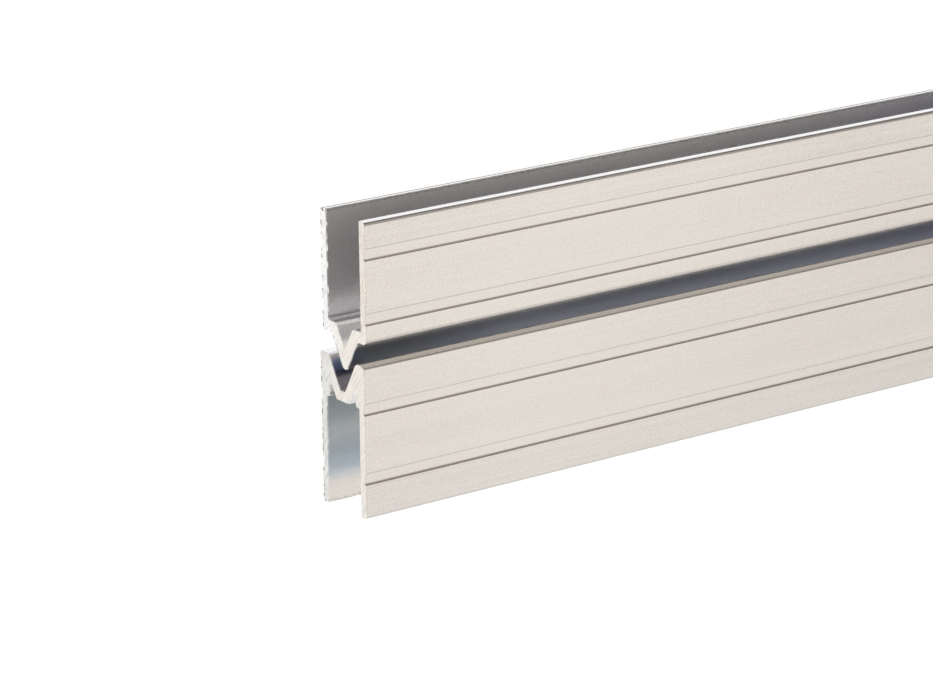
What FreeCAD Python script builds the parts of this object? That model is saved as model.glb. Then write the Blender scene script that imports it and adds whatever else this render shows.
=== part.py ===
"""Case closure profile: a pair of extruded aluminium rails, one with a hollow tongue and one with a groove.

The rails lie on their backs beside each other, with the tongue just entering the mouth of the groove.
X runs along the rails, Y goes up their section from the groove rail to the tongue rail, and Z goes up
from the backs, which are at Z = 0, to the fronts. Every size is in millimetres.
"""
import FreeCAD, Part
import math
import os

from FreeCAD import Vector

# Length of the cut stock, and how far the groove rail's near end stands out past the tongue rail's
LENGTH = 1000.0
END_STEP = 0.6

# Channel that holds the edge of the case panel, the same on both rails
SLOT_WIDTH = 9.5
SLOT_DEPTH = 18.8
WALL = 1.5
WALL_END_RADIUS = 0.5
SLOT_LIP_RADIUS = 0.2
SLOT_CORNER_RADIUS = 0.3

# Tongue rail: a web with a hollow V hanging from it
TONGUE_WEB = 1.9
TONGUE_LENGTH = 5.5
FLANK_ANGLE = 30.0
TIP_RADIUS = 0.9
TONGUE_WALL = 2.1
ROOT_RADIUS = 1.0
HOLLOW_MOUTH_RADIUS = 0.8
HOLLOW_BOTTOM_RADIUS = 0.3

# Groove rail: a head with a V groove, two notches beside it that even out the metal, and thick cheeks
HEAD_HEIGHT = 7.4
MATING_CLEARANCE = 0.22
GROOVE_BOTTOM_RADIUS = 0.9
GROOVE_WALL = 1.85
CHEEK = 2.45
NOTCH_RADIUS = 0.42
NOTCH_EDGE_RADIUS = 0.15
FRONT_LIP_RADIUS = 1.2
FRONT_LIP_SLOPE_WIDTH = 1.3
FRONT_LIP_FALL = 0.36
FRONT_LIP_CROWN_RADIUS = 1.8
BACK_LIP_RADIUS = 0.5

# Outer corners where the two rails meet
TONGUE_FRONT_EDGE_RADIUS = 0.9
GROOVE_FRONT_EDGE_RADIUS = 0.3
BACK_EDGE_RADIUS = 0.15

# Guide lines for rivets: shallow recesses along the front and the back, measured from the slot's mouth
GUIDE_WIDTH = 1.85
GUIDE_DEPTH = 0.35
GUIDE_EDGE_RADIUS = 0.2
TONGUE_GUIDES = (5.5, 16.4)
GROOVE_GUIDES = (6.9, 18.8)

# How far apart the meeting faces of the two rails lie
OPEN_GAP = 3.5

BACK = -1
FRONT = 1

depth = SLOT_WIDTH + 2 * WALL
half_depth = depth / 2
half_slot = SLOT_WIDTH / 2
tongue_rail_height = TONGUE_WEB + SLOT_DEPTH
groove_rail_height = HEAD_HEIGHT + SLOT_DEPTH
total_height = tongue_rail_height + OPEN_GAP + groove_rail_height

sin_flank = math.sin(math.radians(FLANK_ANGLE))
cos_flank = math.cos(math.radians(FLANK_ANGLE))
tan_flank = math.tan(math.radians(FLANK_ANGLE))

# Heights up the section, with the pair centred on Y = 0
groove_mouth_edge = -total_height / 2
groove_seat = groove_mouth_edge + SLOT_DEPTH
groove_meeting_face = groove_mouth_edge + groove_rail_height
tongue_meeting_face = groove_meeting_face + OPEN_GAP
tongue_seat = tongue_meeting_face + TONGUE_WEB
tongue_mouth_edge = tongue_meeting_face + tongue_rail_height

# Points where each pair of flanks would cross without its rounding
tongue_apex = tongue_meeting_face - TONGUE_LENGTH - TIP_RADIUS * (1 / sin_flank - 1)
hollow_apex = tongue_apex + TONGUE_WALL / sin_flank
tongue_reach = tongue_meeting_face - tongue_apex
groove_apex = groove_meeting_face - tongue_reach - MATING_CLEARANCE / sin_flank
groove_outer_apex = groove_apex - GROOVE_WALL / sin_flank


def flank(apex, height):
    """Distance from the middle of the section to a flank rising from apex, at a height."""
    return (height - apex) * tan_flank


def tangent_points(before, corner, after, radius):
    """Start, middle and end of the arc that rounds one corner of an outline."""
    towards_before = (before - corner).normalize()
    towards_after = (after - corner).normalize()
    half_angle = towards_before.getAngle(towards_after) / 2
    reach = radius / math.tan(half_angle)
    bisector = (towards_before + towards_after).normalize()
    centre = corner + bisector * (radius / math.sin(half_angle))
    return corner + towards_before * reach, centre - bisector * radius, corner + towards_after * reach


def section_face(corners):
    """Planar face from corners (across, height, radius), with an arc at each corner that has a radius."""
    points = [Vector(0, height, half_depth + across) for across, height, _ in corners]
    edges = []
    stops = []
    for i, (_, _, radius) in enumerate(corners):
        if radius == 0:
            stops.append((points[i], points[i]))
            continue
        start, middle, end = tangent_points(points[i - 1], points[i], points[(i + 1) % len(points)], radius)
        edges.append(Part.Arc(start, middle, end).toShape())
        stops.append((start, end))
    for i, (start, _) in enumerate(stops):
        edges.append(Part.LineSegment(stops[i - 1][1], start).toShape())
    return Part.Face(Part.Wire(Part.__sortEdges__(edges)))


def guide_recess(side, middle):
    """Corners of one guide recess in an outer face, from its lower edge up."""
    low = middle - GUIDE_WIDTH / 2
    high = middle + GUIDE_WIDTH / 2
    face = side * half_depth
    floor = side * (half_depth - GUIDE_DEPTH)
    return [
        (face, low, GUIDE_EDGE_RADIUS),
        (floor, low, 0),
        (floor, high, 0),
        (face, high, GUIDE_EDGE_RADIUS),
    ]


def wall_end(side, edge):
    """Corners of a channel wall's free end, from the outer face inwards."""
    return [
        (side * half_depth, edge, WALL_END_RADIUS),
        (side * half_slot, edge, SLOT_LIP_RADIUS),
    ]


def tongue_half(side):
    """Corners of one half of the tongue rail, from the tongue's root round to the mouth of its hollow."""
    edge_radius = TONGUE_FRONT_EDGE_RADIUS if side == FRONT else BACK_EDGE_RADIUS
    corners = [
        (side * flank(tongue_apex, tongue_meeting_face), tongue_meeting_face, ROOT_RADIUS),
        (side * half_depth, tongue_meeting_face, edge_radius),
    ]
    for distance in sorted(TONGUE_GUIDES, reverse=True):
        corners += guide_recess(side, tongue_mouth_edge - distance)
    corners += wall_end(side, tongue_mouth_edge)
    corners += [
        (side * half_slot, tongue_seat, SLOT_CORNER_RADIUS),
        (side * flank(hollow_apex, tongue_seat), tongue_seat, HOLLOW_MOUTH_RADIUS),
    ]
    return corners


def tongue_section():
    """Section of the tongue rail: both halves, joined at the tip and at the bottom of the hollow."""
    tip = (0, tongue_apex, TIP_RADIUS)
    hollow_bottom = (0, hollow_apex, HOLLOW_BOTTOM_RADIUS)
    return section_face([tip] + tongue_half(FRONT) + [hollow_bottom] + tongue_half(BACK)[::-1])


def groove_lip(side):
    """Corners of one lip of the groove, from the groove's flank out to the outer face."""
    mouth = side * flank(groove_apex, groove_meeting_face)
    if side == BACK:
        return [
            (mouth, groove_meeting_face, BACK_LIP_RADIUS),
            (side * half_depth, groove_meeting_face, BACK_EDGE_RADIUS),
        ]
    return [
        (mouth, groove_meeting_face, FRONT_LIP_RADIUS),
        (half_depth - FRONT_LIP_SLOPE_WIDTH, groove_meeting_face, FRONT_LIP_CROWN_RADIUS),
        (half_depth, groove_meeting_face - FRONT_LIP_FALL, GROOVE_FRONT_EDGE_RADIUS),
    ]


def groove_half(side):
    """Corners of one half of the groove rail, from the lip down and round to the flat under the groove."""
    corners = groove_lip(side)
    for distance in sorted(GROOVE_GUIDES, reverse=True):
        corners += guide_recess(side, groove_mouth_edge + distance)[::-1]
    corners += wall_end(side, groove_mouth_edge)
    cheek = half_depth - CHEEK
    corners += [
        (side * half_slot, groove_seat, SLOT_CORNER_RADIUS),
        (side * cheek, groove_seat, NOTCH_EDGE_RADIUS),
        (side * cheek, groove_outer_apex + cheek / tan_flank, NOTCH_RADIUS),
        (side * flank(groove_outer_apex, groove_seat), groove_seat, NOTCH_EDGE_RADIUS),
    ]
    return corners


def groove_section():
    """Section of the groove rail: both halves, joined at the bottom of the groove."""
    bottom = (0, groove_apex, GROOVE_BOTTOM_RADIUS)
    return section_face([bottom] + groove_half(FRONT) + groove_half(BACK)[::-1])


def extrude(section, near_end):
    """Rail of the full length from its section, starting at near_end."""
    section.translate(Vector(near_end, 0, 0))
    return section.extrude(Vector(LENGTH, 0, 0))


rails = {
    "tongue_rail": extrude(tongue_section(), -LENGTH / 2 + END_STEP / 2),
    "groove_rail": extrude(groove_section(), -LENGTH / 2 - END_STEP / 2),
}

os.makedirs("parts", exist_ok=True)
for name, rail in rails.items():
    rail.exportStep(f"parts/{name}.step")
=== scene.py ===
"""Looks of the case closure profile: two mill-finish aluminium rails lying on their backs on a white floor.

The frame's X runs along the rails, Y up their section and Z up from the floor. The frame is in metres, and
the sizes of finishes and burrs are written in millimetres.
"""
import math

import bmesh
import bpy
from mathutils import Matrix, Vector


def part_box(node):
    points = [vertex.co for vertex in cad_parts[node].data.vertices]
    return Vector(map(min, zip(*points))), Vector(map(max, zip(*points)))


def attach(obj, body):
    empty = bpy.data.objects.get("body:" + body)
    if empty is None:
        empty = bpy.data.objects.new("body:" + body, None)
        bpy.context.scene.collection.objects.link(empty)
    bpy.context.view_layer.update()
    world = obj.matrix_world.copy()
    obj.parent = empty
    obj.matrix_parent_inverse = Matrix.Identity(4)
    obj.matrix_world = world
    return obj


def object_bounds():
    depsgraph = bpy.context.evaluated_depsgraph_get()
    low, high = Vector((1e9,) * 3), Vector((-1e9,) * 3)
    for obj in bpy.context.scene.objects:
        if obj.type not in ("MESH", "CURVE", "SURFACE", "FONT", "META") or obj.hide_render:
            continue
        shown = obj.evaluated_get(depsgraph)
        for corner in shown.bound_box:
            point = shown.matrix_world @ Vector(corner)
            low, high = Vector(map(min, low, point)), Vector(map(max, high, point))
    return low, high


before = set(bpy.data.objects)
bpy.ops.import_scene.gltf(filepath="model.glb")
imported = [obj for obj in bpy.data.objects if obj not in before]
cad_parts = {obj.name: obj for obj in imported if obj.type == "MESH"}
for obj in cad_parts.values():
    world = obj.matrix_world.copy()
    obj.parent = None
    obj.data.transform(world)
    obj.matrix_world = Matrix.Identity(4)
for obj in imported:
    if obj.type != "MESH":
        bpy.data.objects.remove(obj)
cad_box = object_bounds()

MM = 0.001
RAILS = ("tongue_rail", "groove_rail")

# Camera: the point on the fronts that it looks at, and from how far and which side
TARGET_FROM_NEAR_END = 20.0
TARGET_HEIGHT = 0.06
CAMERA_DISTANCE = 639.8
CAMERA_AZIMUTH = 35.850
CAMERA_ELEVATION = 16.949
CAMERA_ROLL = -0.708
LENS = 149.43
SENSOR_WIDTH = 36.0

# Section of the rails, for finishes that change from one face to the next. Heights are measured from the
# mouth of a rail's channel. An apex is where two flanks, or the middles of their walls, would cross.
SECTION_DEPTH = 12.5
WALL = 1.5
SLOT_DEPTH = 18.8
FRONT_BORDER = (11.9, 12.1)
FLANK_SLOPE = math.tan(math.radians(30.0))
TONGUE_ROOT = 20.7
TONGUE_APEX = 27.1
TONGUE_WALL_APEX = 25.0
GROOVE_LIP = 25.75
GROOVE_WALL_APEX = 17.5
GUIDE_WIDTH = 1.85
GUIDES = {"tongue_rail": (5.5, 16.4), "groove_rail": (6.9, 18.8)}

# Noise in the extruded finish and in the burrs: lumps per millimetre along the rail and across it
DIE_LINES = (0.004, 2.2)
TONE_BANDS = (0.0015, 0.45)
CLOUDS = (0.03, 0.12)
GRAIN = (6.0, 7.5)
BLUSH = (5.0, 6.5)
TEARS = (3.0, 3.0)

# How strongly each of them shades the metal. Grain has one strength inside a rail and one on its front.
LINE_SHADE = 0.12
BAND_SHADE = 0.09
CLOUD_SHADE = 0.08
GRAIN_SHADE = {"tongue_rail": (0.75, 0.45), "groove_rail": (0.40, 0.40)}

# Painted sheen of the fronts: a brighter stretch of painted highlight a little way in from the cut ends, and
# a darker stretch of painted shade beyond it
PAINTED_SHEEN = 0.04
PAINTED_SHEEN_RISE = (0.0, 35.0)
PAINTED_SHEEN_FALL = (45.0, 120.0)
PAINTED_FRONT_SHADE = 0.03
PAINTED_FRONT_SHADE_RISE = (70.0, 170.0)

# Roughness of the extruded faces, what the tongue rail's channel adds to it, and that of the cut ends
MILL_ROUGHNESS = 0.25
CHANNEL_ROUGHNESS = 0.13
CUT_ROUGHNESS = {"tongue_rail": 0.30, "groove_rail": 0.42}

# Relief: its height, how strongly it shows, and the die lines' share of what the saw marks have
RELIEF_HEIGHT = 0.02
RELIEF_STRENGTH = 0.08
DIE_LINE_RELIEF = 0.4

# Saw's marks on the ends: which way they lean up each rail's section, in degrees
SAW_LEAN = {"tongue_rail": 45.0, "groove_rail": 56.0}

# Colours of the extruded metal, of the sawn ends and of the burrs, of the dark marks and painted shade on the
# rails' edges, and of the painted shade on the tongue's burrs
WHITE = (1.0, 1.0, 1.0)
MILL_COLOUR = (0.94, 0.935, 0.93)
PINK_SPECKLE = (1.08, 0.97, 1.07)
GREEN_SPECKLE = (0.93, 1.02, 0.94)
CUT_COLOUR_FRONT = (0.885, 0.85, 0.785)
CUT_COLOUR_BACK = {"tongue_rail": (0.99, 0.98, 0.97), "groove_rail": (0.84, 0.83, 0.81)}
TORN_TINT = (0.90, 0.83, 0.78)
BURR_COLOUR = (0.99, 0.98, 0.97)
MARK_AND_SHADE_COLOUR = (0.10, 0.09, 0.08)
PAINTED_OUTLINE_SHADE = (0.30, 0.29, 0.28)

# Tints of the outer faces, with painted shade along the walls' edges and in the guide lines
OUTER_BAND_TINT = (0.965, 0.968, 0.98)
EDGE_SHADE_TINT = (0.42, 0.41, 0.39)
GUIDE_SHADE_TINT = (0.56, 0.53, 0.49)

# Painted light and shade inside the tongue rail: painted light over most of it, bluish painted shade along
# its far stretch, and painted shade on the seat at the bottom of its channel
PAINTED_CHANNEL_LIGHT = (1.05, 1.045, 1.05)
PAINTED_FAR_CHANNEL_SHADE = (0.87, 0.87, 0.95)
PAINTED_SEAT_SHADE = (0.76, 0.76, 0.77)

# Painted light and shade inside the groove rail: painted bluish reflection and shade in its channel, painted
# reflection and shade on its groove from the ends inwards, and painted shade on its front lip
PAINTED_COOL_REFLECTION = (1.02, 1.06, 1.07)
PAINTED_DEEP_COOL_SHADE = (0.52, 0.61, 0.675)
PAINTED_UMBER_REFLECTION = (0.60, 0.56, 0.54)
SHADE_TINT = (0.58, 0.62, 0.66)
PAINTED_STEEL_SHADE = (0.83, 0.875, 0.96)
PAINTED_LIP_SHADE = (0.62, 0.60, 0.57)

# Bands of painted reflection on the groove's flank close to the ends: lower and upper height, and tint
PAINTED_NAVY_BAND = (23.6, 25.0, (0.52, 0.66, 0.92))
PAINTED_DUSK_BAND = (21.9, 23.2, (0.36, 0.36, 0.42))
PAINTED_BOTTOM_BAND = (19.4, 21.5, (0.47, 0.44, 0.46))

# Burrs that the saw leaves along the inner edges of the cut ends: their reach on the walls and on the
# flanks, a thicker bead at one height, and how much flatter they are along the rail than across it
BURR_SPACING = 0.12
BURR_REACH = {"tongue_rail": (0.27, 0.11), "groove_rail": (0.14, 0.11)}
BURR_THINNEST = 0.02
BURR_FLATNESS = 0.5
BURR_WAVE = 1.6
BURR_SEEDS = {"tongue_rail": 3, "groove_rail": 8}
BEAD_REACH = 0.22
BEAD_FROM_MOUTH = {"tongue_rail": 22.6, "groove_rail": 20.26}

# Lengths that the burr's node tree is given, by the names of its inputs
BURR_LENGTHS = (
    "Spacing", "Thinnest", "Wall reach", "Flank reach",
    "Wave", "Limit", "Bead reach", "Bead height",
)

# How far the burrs keep from the outer faces and from the channels' mouths
FACE_MARGIN = 0.6
MOUTH_MARGIN = 0.1

# Studio: a cream softbox in front, white low down, and a grey patch above the side that the mouths face
SOFTBOX = (0.835, 0.785, 0.715)
HORIZON_WHITE = (0.96, 0.96, 0.96)
GREY_PATCH = (0.245, 0.238, 0.24)
FLOOR_COLOUR = (0.95, 0.95, 0.95)
FLOOR_HALF_SIZE = 20.0
FLOOR_DROP = 0.02
FLOOR_GLOW_SHARE = 0.95
FLOOR_GLOW = 1.04


class Value:
    """A number that varies over a surface. Python's operators on it add Math nodes to its tree."""

    def __init__(self, tree, socket):
        self.tree = tree
        self.socket = socket

    def math(self, operation, *operands):
        node = self.tree.node("ShaderNodeMath", {"operation": operation}, *operands)
        return Value(self.tree, node.outputs[0])

    def __add__(self, other):
        return self.math("ADD", self, other)

    def __radd__(self, other):
        return self.math("ADD", other, self)

    def __sub__(self, other):
        return self.math("SUBTRACT", self, other)

    def __rsub__(self, other):
        return self.math("SUBTRACT", other, self)

    def __mul__(self, other):
        return self.math("MULTIPLY", self, other)

    def __rmul__(self, other):
        return self.math("MULTIPLY", other, self)

    def __truediv__(self, other):
        return self.math("DIVIDE", self, other)

    def __abs__(self):
        return self.math("ABSOLUTE", self)

    def between(self, low, high):
        """The value, kept from going below low or above high."""
        return self.math("MINIMUM", self.math("MAXIMUM", self, low), high)

    def ramp(self, low, high):
        """0 at low, 1 at high, and smooth between them."""
        settings = {"interpolation_type": "SMOOTHSTEP"}
        node = self.tree.node("ShaderNodeMapRange", settings, self, low, high, 0.0, 1.0)
        return Value(self.tree, node.outputs[0])

    def fall(self, low, high):
        """1 at low, 0 at high, and smooth between them."""
        return 1.0 - self.ramp(low, high)

    def band(self, low, high, soft):
        """1 from low to high, and 0 beyond a soft border outside them."""
        return self.ramp(low - soft, low) * self.fall(high, high + soft)


class Tree:
    """A node tree, and the one method that adds a node to it."""

    def __init__(self, tree):
        self.nodes = tree.nodes
        self.links = tree.links
        self.nodes.clear()

    def node(self, kind, settings=None, *inputs, **named):
        """Node with its settings made first, then its sockets, by order or by name, given values or links."""
        node = self.nodes.new(kind)
        for name, value in (settings or {}).items():
            setattr(node, name, value)
        sockets = list(zip(node.inputs, inputs))
        sockets += [(node.inputs[name.replace("_", " ")], value) for name, value in named.items()]
        for socket, value in sockets:
            if isinstance(value, Value):
                self.links.new(value.socket, socket)
            elif isinstance(value, bpy.types.NodeSocket):
                self.links.new(value, socket)
            elif socket.type == "RGBA" and isinstance(value, tuple):
                socket.default_value = (*value, 1.0)
            elif value is not None:
                socket.default_value = value
        return node

    def axes(self, vector):
        """The three numbers of a vector."""
        node = self.node("ShaderNodeSeparateXYZ", None, vector)
        return [Value(self, socket) for socket in node.outputs]

    def noise(self, x, y, z, detail=2.0):
        """Smooth noise from 0 to 1 at a place given by three values, one unit to a lump."""
        place = self.node("ShaderNodeCombineXYZ", None, x, y, z)
        node = self.node("ShaderNodeTexNoise", None, Vector=place.outputs[0], Scale=1.0, Detail=detail)
        return Value(self, node.outputs[0])

    def mix(self, factor, first, second):
        """Colour that goes from first at factor 0 to second at factor 1."""
        node = self.node("ShaderNodeMix", {"data_type": "RGBA"})
        for index, value in ((0, factor), (6, first), (7, second)):
            if isinstance(value, Value):
                self.links.new(value.socket, node.inputs[index])
            elif isinstance(value, bpy.types.NodeSocket):
                self.links.new(value, node.inputs[index])
            else:
                node.inputs[index].default_value = (*value, 1.0)
        return node.outputs[2]

    def scaled(self, colour, factor):
        """Colour made lighter or darker by a value."""
        node = self.node("ShaderNodeVectorMath", {"operation": "SCALE"}, colour, Scale=factor)
        return node.outputs[0]

    def tinted(self, colour, tint):
        """Colour multiplied by another one."""
        node = self.node("ShaderNodeVectorMath", {"operation": "MULTIPLY"}, colour, tint)
        return node.outputs[0]


def shader_tree(owner):
    """Empty node tree of a material or world."""
    owner.use_nodes = True
    return Tree(owner.node_tree)


class RailPlace:
    """Where a shaded point is on a rail, in millimetres, and whether it is on the front or inside."""

    def __init__(self, tree, rail):
        low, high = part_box(rail)
        x, y, z = tree.axes(tree.node("ShaderNodeTexCoord").outputs["Object"])
        self.tree = tree
        self.x = x / MM
        self.y = y / MM
        self.z = z / MM
        middle = (low.x + high.x) / 2 / MM
        half_length = (high.x - low.x) / 2 / MM
        self.from_end = half_length - abs(self.x - middle)
        if rail == "tongue_rail":
            self.from_mouth = high.y / MM - self.y
        else:
            self.from_mouth = self.y - low.y / MM
        self.on_front = self.z.ramp(*FRONT_BORDER)
        self.inside = self.z.band(WALL, SECTION_DEPTH - WALL, 0.1)

    def noise(self, scales, detail, shift=0.0):
        """Noise from 0 to 1 whose two scales are its lumps per millimetre along the rail and across it."""
        along, across = scales
        return self.tree.noise(self.x * along + shift, self.y * across, self.z * across, detail)


def mill_finish(tree, place, rail):
    """Colour, roughness and relief of the extruded faces: die lines, faint mottling and grain, with painted
    light and shade inside and on the outer faces.
    """
    lines = place.noise(DIE_LINES, 4.0)
    clouds = place.noise(CLOUDS, 2.0)
    blush = place.noise(BLUSH, 0.0, 31.0)
    speckle = tree.mix(blush.ramp(0.2, 0.8), PINK_SPECKLE, GREEN_SPECKLE)
    colour = tree.scaled(tree.tinted(MILL_COLOUR, speckle), mill_shade(place, rail, lines, clouds))
    # Painted light and shade inside the rail, then the outer faces' tint with its painted shade
    inner_light_and_shade = tongue_painted_light_and_shade if rail == "tongue_rail" else groove_painted_light_and_shade
    colour = tree.tinted(colour, inner_light_and_shade(tree, place))
    colour = tree.tinted(colour, outer_tint(tree, place, rail))
    roughness = MILL_ROUGHNESS + 0.10 * (lines - 0.5) * place.on_front + 0.06 * (clouds - 0.5)
    if rail == "tongue_rail":
        roughness = roughness + CHANNEL_ROUGHNESS * place.inside * place.from_mouth.fall(9.5, 15.0)
    return colour, roughness, lines * place.on_front


def mill_shade(place, rail, lines, clouds):
    """How light the extruded faces are, from their streaks, their grain, and the painted highlight and
    painted shade of the fronts.
    """
    bands = place.noise(TONE_BANDS, 2.0, 7.0)
    grain = place.noise(GRAIN, 0.0)
    streaks = LINE_SHADE * (lines - 0.5) + BAND_SHADE * (bands - 0.5) + CLOUD_SHADE * (clouds - 0.5)
    streakiness = 0.06 + 0.94 * place.on_front + 0.4 * place.from_mouth.fall(4.0, 6.0)
    inner_grain, front_grain = GRAIN_SHADE[rail]
    graininess = inner_grain + (front_grain - inner_grain) * place.on_front
    # Painted highlight a little way in from the cut ends, and painted shade further along
    sheen = PAINTED_SHEEN * place.from_end.ramp(*PAINTED_SHEEN_RISE) * place.from_end.fall(*PAINTED_SHEEN_FALL)
    sheen = sheen - PAINTED_FRONT_SHADE * place.from_end.ramp(*PAINTED_FRONT_SHADE_RISE)
    return 1.0 + streaks * streakiness + graininess * (grain - 0.5) + sheen * place.on_front


def tongue_painted_light_and_shade(tree, place):
    """Painted light and shade on the faces inside the tongue rail's channel and hollow."""
    # Painted shade on the seat, and painted light over the rest that fades to bluish painted shade far along
    seat = place.inside * place.from_mouth.band(18.7, 19.1, 0.1) * place.z.fall(3.2, 3.6)
    bright = tree.mix(place.from_end.ramp(90.0, 170.0), PAINTED_CHANNEL_LIGHT, PAINTED_FAR_CHANNEL_SHADE)
    return tree.mix(seat, tree.mix(place.inside, WHITE, bright), PAINTED_SEAT_SHADE)


def groove_painted_light_and_shade(tree, place):
    """Painted reflection and shade on the faces inside the groove rail's channel and groove, and painted
    shade on its front lip.
    """
    in_channel = place.inside * place.from_mouth.fall(SLOT_DEPTH, SLOT_DEPTH + 0.2)
    # Painted bluish reflection in the channel, and darker painted bluish shade deeper in it
    tint = tree.mix(in_channel * place.from_mouth.ramp(2.6, 6.6), WHITE, PAINTED_COOL_REFLECTION)
    deep = in_channel * place.from_mouth.ramp(2.6, 6.4) * place.from_mouth.fall(8.3, 14.0)
    tint = tree.mix(deep * place.z.fall(4.0, 8.0), tint, PAINTED_DEEP_COOL_SHADE)
    from_middle = abs(place.z - SECTION_DEPTH / 2)
    above_wall = (from_middle - (place.from_mouth - GROOVE_WALL_APEX) * FLANK_SLOPE).fall(0.0, 0.2)
    in_groove = above_wall * place.inside * place.from_mouth.ramp(GROOVE_WALL_APEX, GROOVE_WALL_APEX + 1.0)
    in_groove = in_groove * place.from_mouth.fall(GROOVE_LIP + 0.1, GROOVE_LIP + 0.3)
    tint = tree.mix(in_groove, tint, groove_flank_painted_light(tree, place))
    # Painted shade on the front lip
    lip = place.z.ramp(10.4, 11.0) * place.from_mouth.ramp(GROOVE_LIP - 0.2, GROOVE_LIP)
    return tree.mix(lip, tint, PAINTED_LIP_SHADE)


def groove_flank_painted_light(tree, place):
    """Painted reflection and shade on the groove's flank: painted bands of reflected colour at the ends, then
    painted shade, then painted steel-grey shade far along.
    """
    at_end = place.from_end.fall(3.0, 7.0)
    tint = tree.mix(place.from_end.ramp(5.0, 45.0), SHADE_TINT, PAINTED_STEEL_SHADE)
    tint = tree.mix(at_end, tint, PAINTED_UMBER_REFLECTION)
    # Painted bands of reflected colour near the ends
    for low, high, band_tint in (PAINTED_NAVY_BAND, PAINTED_DUSK_BAND, PAINTED_BOTTOM_BAND):
        tint = tree.mix(at_end * place.from_mouth.band(low, high, 0.4), tint, band_tint)
    return tint


def outer_tint(tree, place, rail):
    """Tint of a rail's outer faces: painted shade in the guide lines, a tint on the band beyond them, and
    painted shade along the walls' edges.
    """
    first_guide = GUIDES[rail][0]
    edge_band = place.on_front * place.from_mouth.fall(first_guide - 1.0, first_guide - 0.8)
    tint = tree.mix(edge_band, WHITE, OUTER_BAND_TINT)
    # Painted shade along the guide lines' edges
    tint = tree.mix(guide_painted_shade(place, rail), tint, GUIDE_SHADE_TINT)
    if rail == "groove_rail":
        return tint
    # Painted shade along the tongue rail's front edge and along the lip of its back wall
    front_edge = place.z.ramp(12.25, 12.4) * place.from_mouth.fall(0.55, 0.70)
    back_lip = place.z.band(1.30, 1.55, 0.06) * place.from_mouth.fall(0.22, 0.36)
    return tree.mix((front_edge + 0.75 * back_lip).between(0.0, 1.0), tint, EDGE_SHADE_TINT)


def guide_painted_shade(place, rail):
    """Share of painted shade in a rail's guide lines: thick in each lower corner, faint in each upper one."""
    half_width = GUIDE_WIDTH / 2
    upwards = -1.0 if rail == "tongue_rail" else 1.0
    share = 0.0
    for middle in GUIDES[rail]:
        height = (place.from_mouth - middle) * upwards
        low = height.band(-half_width - 0.10, -half_width + 0.16, 0.08)
        high = height.band(half_width - 0.06, half_width + 0.02, 0.06)
        share = low * 0.85 + high * 0.45 + share
    return share * place.on_front


def saw_cut_finish(tree, place, rail):
    """Colour, roughness and relief of the sawn ends: pale streaks across the section."""
    lean = math.radians(SAW_LEAN[rail])
    along = place.z * math.cos(lean) + place.y * math.sin(lean)
    across = place.z * math.sin(lean) - place.y * math.cos(lean)
    streaks = tree.noise(along * 0.28, across * 2.4, 0.0, 3.0)
    scratches = tree.noise(along * 0.4, across * 7.0, 5.0, 3.0)
    smudges = tree.noise(along * 0.35, across * 0.9, 9.0, 2.0)
    shade = 1.0 + 0.6 * (streaks - 0.5) + 0.7 * (scratches - 0.5)
    shade = shade - 0.12 * place.z.fall(1.4, 2.4) * smudges.ramp(0.45, 0.65)
    colour = tree.mix(place.z.ramp(0.5, 6.0), CUT_COLOUR_BACK[rail], CUT_COLOUR_FRONT)
    if rail == "tongue_rail":
        torn = tree.noise(place.y * 0.25, place.z * 4.0, 21.0, 3.0).ramp(0.42, 0.60)
        torn = torn * place.z.ramp(10.8, 11.2) * place.from_mouth.fall(18.0, 20.0)
        colour = tree.tinted(colour, tree.mix(torn, WHITE, TORN_TINT))
    roughness = CUT_ROUGHNESS[rail] + 0.2 * (streaks - 0.5)
    return tree.scaled(colour, shade.between(0.5, 1.04)), roughness, streaks


def edge_marks_and_shade(tree, place, rail):
    """Share of dark marks and painted shade on a rail's edges: dark specks along its back and dots where its
    front is cut, and painted shade at its mouth and along the tongue's flank.
    """
    at_cut = place.from_end.fall(0.05, 0.4)
    specks = tree.noise(place.y * 0.9, place.z * 0.4, 3.0, 4.0)
    back = place.z.fall(0.14, 0.26) * at_cut * specks.ramp(0.48, 0.55)
    dots = tree.noise(place.y * 1.9, 11.0, 3.0, 3.0)
    front = place.z.ramp(12.0, 12.3) * place.from_end.band(0.04, 0.12, 0.05) * dots.ramp(0.40, 0.66)
    # Painted shade: a dark outline where the back wall meets the mouth
    outline = place.z.fall(0.58, 0.74) * place.from_mouth.fall(0.1, 0.3)
    # Painted shade in patches along the back wall's inner lip at the mouth
    lip_patches = tree.noise(place.x * 1.1, place.from_mouth * 3.0, 17.0, 3.0)
    lip = place.z.band(1.3, 1.6, 0.1) * place.from_mouth.fall(0.35, 0.75) * lip_patches.ramp(0.42, 0.62)
    marks = back + 0.4 * front + outline + 0.3 * lip
    if rail == "tongue_rail":
        corner = place.z.band(0.55, 0.85, 0.1) * place.from_mouth.band(0.22, 0.45, 0.1)
        corner = corner * place.from_end.fall(0.0, 0.3)
        # Painted shade along the edge of the tongue's flank at the cut ends
        from_flank = place.z - SECTION_DEPTH / 2 + (TONGUE_APEX - place.from_mouth) * FLANK_SLOPE
        flank = from_flank.fall(0.14, 0.24) * place.from_mouth.band(21.3, 24.2, 0.3)
        marks = marks + 0.9 * corner + 0.8 * flank * specks.ramp(0.38, 0.50) * at_cut
    return marks.between(0.0, 1.0)


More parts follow.
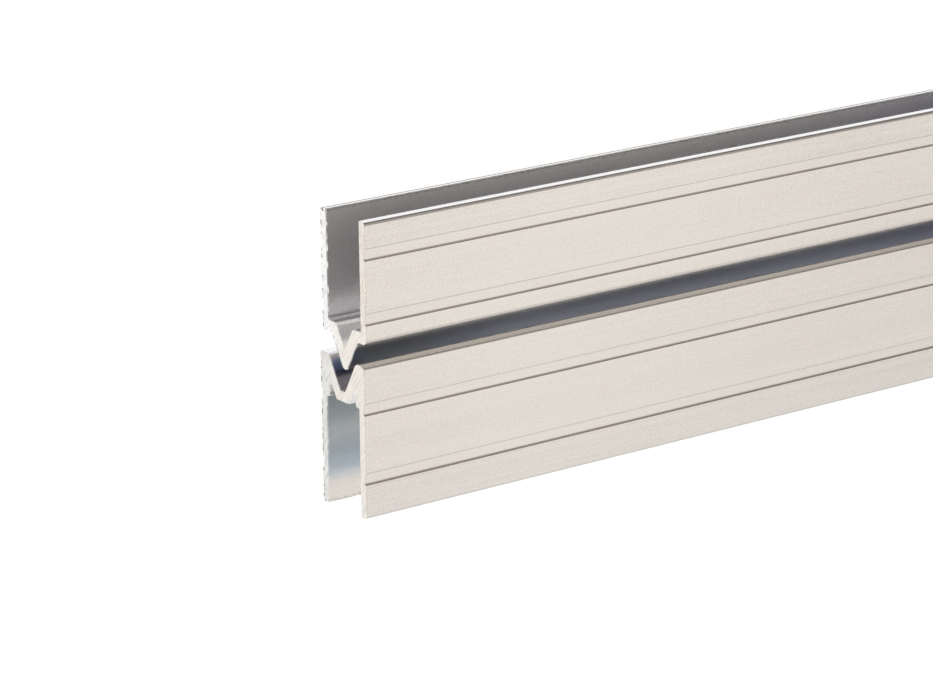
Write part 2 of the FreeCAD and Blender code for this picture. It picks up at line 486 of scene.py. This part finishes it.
def rail_metal(rail):
    """Metal of one rail: mill finish along it and a sawn finish on its two ends."""
    material = bpy.data.materials.new(rail + "_metal")
    tree = shader_tree(material)
    place = RailPlace(tree, rail)
    mill_colour, mill_roughness, mill_relief = mill_finish(tree, place, rail)
    cut_colour, cut_roughness, cut_relief = saw_cut_finish(tree, place, rail)
    is_cut = place.from_end.fall(0.005, 0.02)
    colour = tree.mix(is_cut, mill_colour, cut_colour)
    roughness = mill_roughness * (1.0 - is_cut) + cut_roughness * is_cut
    relief = mill_relief * (1.0 - is_cut) * DIE_LINE_RELIEF + cut_relief * is_cut
    bump = tree.node("ShaderNodeBump", None, Strength=RELIEF_STRENGTH, Distance=RELIEF_HEIGHT * MM,
                     Height=relief)
    metal = tree.node("ShaderNodeBsdfPrincipled", None, Base_Color=colour, Metallic=1.0,
                      Roughness=roughness, Normal=bump.outputs[0])
    # Dark diffuse mixed in along the edges, standing for dark marks and for painted shade
    dark_surface = tree.node("ShaderNodeBsdfDiffuse", None, MARK_AND_SHADE_COLOUR)
    share = edge_marks_and_shade(tree, place, rail)
    surface = tree.node("ShaderNodeMixShader", None, share, metal.outputs[0], dark_surface.outputs[0])
    tree.node("ShaderNodeOutputMaterial", None, Surface=surface.outputs[0])
    return material


def burr_metal(rail):
    """Torn metal of a rail's burrs: bright, but with painted shade along the tongue's underside at the back.
    """
    material = bpy.data.materials.new(rail + "_burr_metal")
    tree = shader_tree(material)
    place = RailPlace(tree, rail)
    tears = place.noise(TEARS, 2.0)
    colour = tree.mix(place.z.ramp(0.5, 8.0), BURR_COLOUR, CUT_COLOUR_FRONT)
    colour = tree.scaled(colour, 0.85 + 0.3 * tears)
    surface = tree.node("ShaderNodeBsdfPrincipled", None, Base_Color=colour, Metallic=1.0,
                        Roughness=0.15 + 0.3 * tears)
    if rail == "tongue_rail":
        # Painted shade on the burrs along the tongue's outer flank
        outer_flank = SECTION_DEPTH / 2 - place.z - (TONGUE_WALL_APEX - place.from_mouth) * FLANK_SLOPE
        shaded_flank = outer_flank.ramp(0.0, 0.2) * place.from_mouth.ramp(TONGUE_ROOT, TONGUE_ROOT + 0.3)
        flank_shade = tree.node("ShaderNodeBsdfDiffuse", None, PAINTED_OUTLINE_SHADE)
        surface = tree.node("ShaderNodeMixShader", None, shaded_flank, surface.outputs[0], flank_shade.outputs[0])
    tree.node("ShaderNodeOutputMaterial", None, Surface=surface.outputs[0])
    return material


def is_inner(edge, low, high):
    """Whether a cut edge lies away from the rail's outer faces and from its channel's mouth."""
    margin = FACE_MARGIN * MM
    outermost = max(-low.y, high.y) - MOUTH_MARGIN * MM
    ends = [vertex.co for vertex in edge.verts]
    return all(low.z + margin < end.z < high.z - margin and abs(end.y) < outermost for end in ends)


def cut_edges(rail):
    """Wire mesh of the inner edges of a rail's two cut ends."""
    low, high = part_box(rail)
    solid = bmesh.new()
    solid.from_mesh(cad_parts[rail].data)
    bmesh.ops.remove_doubles(solid, verts=solid.verts, dist=0.001 * MM)
    facing = {}
    edges = []
    for edge in solid.edges:
        caps = [face for face in edge.link_faces if abs(face.normal.x) > 0.5]
        walls = [face for face in edge.link_faces if abs(face.normal.x) <= 0.5]
        if len(caps) != 1 or len(walls) != 1 or not is_inner(edge, low, high):
            continue
        edges.append(edge.verts[:])
        for vertex in edge.verts:
            facing[vertex] = facing.get(vertex, Vector()) + walls[0].normal
    mesh = wire_mesh(rail, facing, edges)
    solid.free()
    return mesh


def wire_mesh(rail, facing, edges):
    """Mesh of edges, set back so that the burr stays inside. Each point keeps the way that its wall faces."""
    low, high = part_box(rail)
    middle = (low.x + high.x) / 2
    wall_reach, flank_reach = BURR_REACH[rail]
    setback = BURR_FLATNESS * max(wall_reach, flank_reach + BEAD_REACH) * MM
    points = [vertex.co - Vector((math.copysign(setback, vertex.co.x - middle), 0, 0)) for vertex in facing]
    order = {vertex: index for index, vertex in enumerate(facing)}
    mesh = bpy.data.meshes.new(rail + "_edges")
    mesh.from_pydata(points, [(order[a], order[b]) for a, b in edges], [])
    attribute = mesh.attributes.new("facing", "FLOAT_VECTOR", "POINT")
    for entry, direction in zip(attribute.data, facing.values()):
        entry.vector = direction.normalized()
    return mesh


def add_burr_sockets(interface):
    """Named inputs and the output of the burr's node tree."""
    interface.new_socket("Geometry", in_out="INPUT", socket_type="NodeSocketGeometry")
    for name in BURR_LENGTHS:
        interface.new_socket(name, in_out="INPUT", socket_type="NodeSocketFloat")
    interface.new_socket("Seed", in_out="INPUT", socket_type="NodeSocketInt")
    interface.new_socket("Material", in_out="INPUT", socket_type="NodeSocketMaterial")
    interface.new_socket("Geometry", in_out="OUTPUT", socket_type="NodeSocketGeometry")


def burr_thickness(tree, given, facing):
    """Reach of a burr at each point of its wire: ragged by noise, and thicker at the height of its bead."""
    values = [Value(tree, given[name]) for name in BURR_LENGTHS + ("Seed",)]
    _, thinnest, wall_reach, flank_reach, wave, limit, bead_reach, bead_height, seed = values
    x, y, z = tree.axes(tree.node("GeometryNodeInputPosition").outputs[0])
    lumps = tree.noise(x / wave + seed, y / wave, z / wave, 4.0).ramp(0.46, 0.66)
    steepness = abs(tree.axes(facing)[2])
    reach = flank_reach + (wall_reach - flank_reach) * steepness.ramp(0.9, 0.98)
    from_middle = abs(z - SECTION_DEPTH / 2 * MM)
    bead = abs(y - bead_height).fall(0.1 * MM, 0.6 * MM) * from_middle.fall(0.4 * MM, 0.8 * MM)
    room = 0.8 * (limit - abs(y))
    return (thinnest + (reach - thinnest) * lumps + bead_reach * bead).between(0.0, room)


def burr_nodes():
    """Geometry Nodes that sweep a ragged bead along a wire, flatter along the rail than across it."""
    group = bpy.data.node_groups.new("burr", "GeometryNodeTree")
    add_burr_sockets(group.interface)
    tree = Tree(group)
    given = tree.node("NodeGroupInput").outputs
    wire = tree.node("GeometryNodeMeshToCurve", None, given["Geometry"])
    spacing = given["Spacing"]
    even = tree.node("GeometryNodeResampleCurve", {"mode": "LENGTH"}, wire.outputs[0], Length=spacing)
    named = tree.node("GeometryNodeInputNamedAttribute", {"data_type": "FLOAT_VECTOR"}, "facing")
    facing = named.outputs[0]
    turned = tree.node("GeometryNodeSetCurveNormal", {"mode": "FREE"}, even.outputs[0], Normal=facing)
    circle = tree.node("GeometryNodeCurvePrimitiveCircle", None, 8, Radius=1.0)
    flat = tree.node("GeometryNodeTransform", None, circle.outputs[0], Scale=(1.0, BURR_FLATNESS, 1.0))
    thickness = burr_thickness(tree, given, facing)
    swept = tree.node("GeometryNodeCurveToMesh", None, turned.outputs[0], flat.outputs[0], thickness, True)
    smooth = tree.node("GeometryNodeSetShadeSmooth", None, swept.outputs[0])
    real = tree.node("GeometryNodeRealizeInstances", None, smooth.outputs[0])
    done = tree.node("GeometryNodeSetMaterial", None, real.outputs[0], Material=given["Material"])
    tree.node("NodeGroupOutput", None, done.outputs[0])
    return group


def burr_settings(rail, material):
    """What each named input of the burr's node tree is given for one rail."""
    low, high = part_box(rail)
    wall_reach, flank_reach = BURR_REACH[rail]
    bead_from_mouth = BEAD_FROM_MOUTH[rail] * MM
    return {
        "Spacing": BURR_SPACING * MM,
        "Thinnest": BURR_THINNEST * MM,
        "Wall reach": wall_reach * MM,
        "Flank reach": flank_reach * MM,
        "Wave": BURR_WAVE * MM,
        "Limit": cad_box[1][1],
        "Bead reach": BEAD_REACH * MM,
        "Bead height": high.y - bead_from_mouth if rail == "tongue_rail" else low.y + bead_from_mouth,
        "Seed": BURR_SEEDS[rail],
        "Material": material,
    }


def make_burr(rail, group, material):
    """Burrs of one rail, as a plain mesh."""
    burr = bpy.data.objects.new(rail + "_burr", cut_edges(rail))
    bpy.context.scene.collection.objects.link(burr)
    modifier = burr.modifiers.new("burr", "NODES")
    modifier.node_group = group
    settings = burr_settings(rail, material)
    for socket in group.interface.items_tree:
        if socket.name in settings:
            modifier[socket.identifier] = settings[socket.name]
    evaluated = burr.evaluated_get(bpy.context.evaluated_depsgraph_get())
    mesh = bpy.data.meshes.new_from_object(evaluated)
    burr.modifiers.remove(modifier)
    burr.data = mesh
    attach(burr, "root")


def make_floor():
    """White floor that keeps a faint shadow and shows white to the camera and in the metal."""
    size = FLOOR_HALF_SIZE
    corners = [(-size, -size, 0), (size, -size, 0), (size, size, 0), (-size, size, 0)]
    mesh = bpy.data.meshes.new("floor")
    mesh.from_pydata(corners, [], [(0, 1, 2, 3)])
    floor = bpy.data.objects.new("floor", mesh)
    bpy.context.scene.collection.objects.link(floor)
    floor.location.z = -FLOOR_DROP * MM
    material = bpy.data.materials.new("floor")
    tree = shader_tree(material)
    ray = tree.node("ShaderNodeLightPath")
    rays = [Value(tree, ray.outputs[f"Is {kind} Ray"]) for kind in ("Camera", "Glossy", "Transmission")]
    seen = (rays[0] + rays[1] + rays[2]).between(0.0, 1.0) * FLOOR_GLOW_SHARE
    diffuse = tree.node("ShaderNodeBsdfDiffuse", None, FLOOR_COLOUR)
    glow = tree.node("ShaderNodeEmission", None, WHITE, FLOOR_GLOW)
    mixed = tree.node("ShaderNodeMixShader", None, seen, diffuse.outputs[0], glow.outputs[0])
    tree.node("ShaderNodeOutputMaterial", None, Surface=mixed.outputs[0])
    mesh.materials.append(material)


def make_world():
    """Pale studio: a soft cream light in front, white round the horizon and one grey patch."""
    world = bpy.data.worlds.new("studio")
    bpy.context.scene.world = world
    tree = shader_tree(world)
    x, y, z = tree.axes(tree.node("ShaderNodeTexCoord").outputs["Generated"])
    falloff = (1.0 - 0.92 * (x - 0.55) + 1.1 * (y + 0.28)).between(0.72, 1.04)
    grey = y.ramp(0.05, 0.35) * z.ramp(0.06, 0.20) * z.fall(0.58, 0.78)
    white = z.fall(0.0, 0.12) * y.ramp(-0.7, -0.3)
    colour = tree.scaled(SOFTBOX, falloff)
    colour = tree.mix(grey, colour, GREY_PATCH)
    colour = tree.mix(white, colour, HORIZON_WHITE)
    background = tree.node("ShaderNodeBackground", None, colour, 1.0)
    tree.node("ShaderNodeOutputWorld", None, Surface=background.outputs[0])


def make_camera():
    """Camera at the photograph's viewing angle, aimed at the fronts of the rails near their near end."""
    data = bpy.data.cameras.new("camera")
    data.lens = LENS
    data.sensor_width = SENSOR_WIDTH
    data.clip_start = 10 * MM
    camera = bpy.data.objects.new("camera", data)
    bpy.context.scene.collection.objects.link(camera)
    azimuth = math.radians(CAMERA_AZIMUTH)
    elevation = math.radians(CAMERA_ELEVATION)
    level = math.cos(elevation)
    back = Vector((-math.sin(azimuth) * level, math.sin(elevation), math.cos(azimuth) * level))
    right = Vector((0, 1, 0)).cross(back).normalized()
    up = back.cross(right)
    turn = Matrix((right, up, back)).transposed() @ Matrix.Rotation(math.radians(CAMERA_ROLL), 3, "Z")
    low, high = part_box("tongue_rail")
    target = Vector((low.x + TARGET_FROM_NEAR_END * MM, TARGET_HEIGHT * MM, high.z))
    camera.matrix_world = Matrix.Translation(target + back * CAMERA_DISTANCE * MM) @ turn.to_4x4()
    bpy.context.scene.camera = camera


make_camera()
make_floor()
make_world()
bpy.context.scene.view_settings.view_transform = "Standard"
for rail in RAILS:
    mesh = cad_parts[rail].data
    mesh.materials.clear()
    mesh.materials.append(rail_metal(rail))
burr_group = burr_nodes()
for rail in RAILS:
    make_burr(rail, burr_group, burr_metal(rail))
